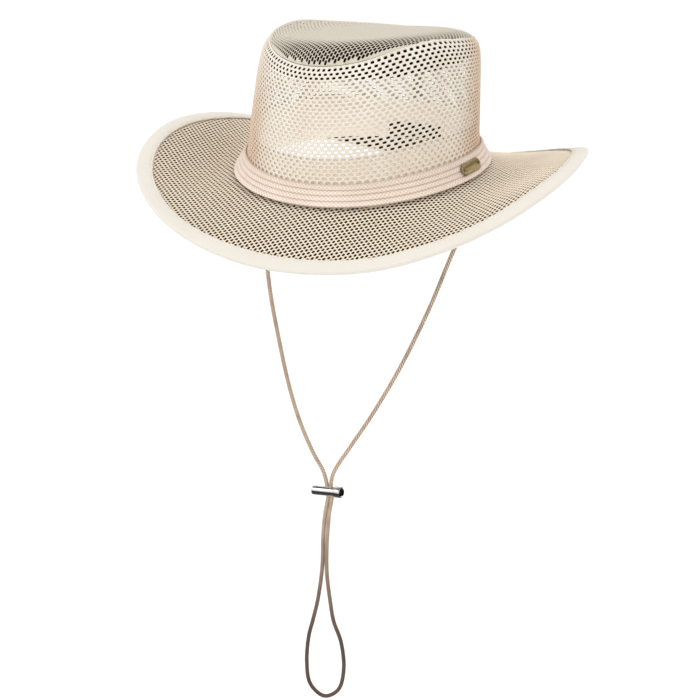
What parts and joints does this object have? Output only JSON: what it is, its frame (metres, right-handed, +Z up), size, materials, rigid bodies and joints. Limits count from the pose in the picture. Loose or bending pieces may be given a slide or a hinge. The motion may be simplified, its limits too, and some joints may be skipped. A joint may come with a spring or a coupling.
{
  "type": "outback hat with chin cord",
  "caption": "Wide-brimmed open net hat with a creased crown, pleated band, bound brim, bare band plate and a chin cord with a spring lock.",
  "frame": {"origin": "middle of the head opening, level with the brim's root at the wearer's ears", "axes": "+Z up out of the crown, -Y to the front of the hat, +X to the wearer's left"},
  "size_m": [0.3314, 0.3706, 0.5698],
  "materials": {
    "ivory_net": "moulded open net in ivory yarn, matt",
    "ivory_cloth": "fine pleated and folded ivory cloth, matt",
    "peach_cloth": "smooth brushed cloth in light peach",
    "dark_taupe_cloth": "plain dark taupe cloth, matt",
    "tan_braid": "round braided cord in tan yarn",
    "antique_brass": "aged brass, softly brushed",
    "bright_nickel": "polished nickel",
    "black_nickel": "dark polished nickel"
  },
  "bodies": {
    "hat": {"crown_wall": "ivory_net", "crown_top": "ivory_net", "crown_lining": "dark_taupe_cloth", "sweatband": "peach_cloth", "hat_band": "ivory_cloth", "brim_mesh": "ivory_net", "under_brim": "dark_taupe_cloth", "brim_binding": "ivory_cloth", "label_plate": "antique_brass", "cord_tab_left": "peach_cloth", "cord_tab_right": "peach_cloth", "chin_cord": "tan_braid", "lock_barrel": "bright_nickel"},
    "lock_plunger": {"lock_plunger": "black_nickel"}
  },
  "joints": [
    {"name": "lock_press", "type": "slide", "parent": "hat", "child": "lock_plunger", "axis": [-0.9962, 0, -0.0872], "range_m": [0, 0.0022], "stiffness_N_per_m": 400}
  ]
}
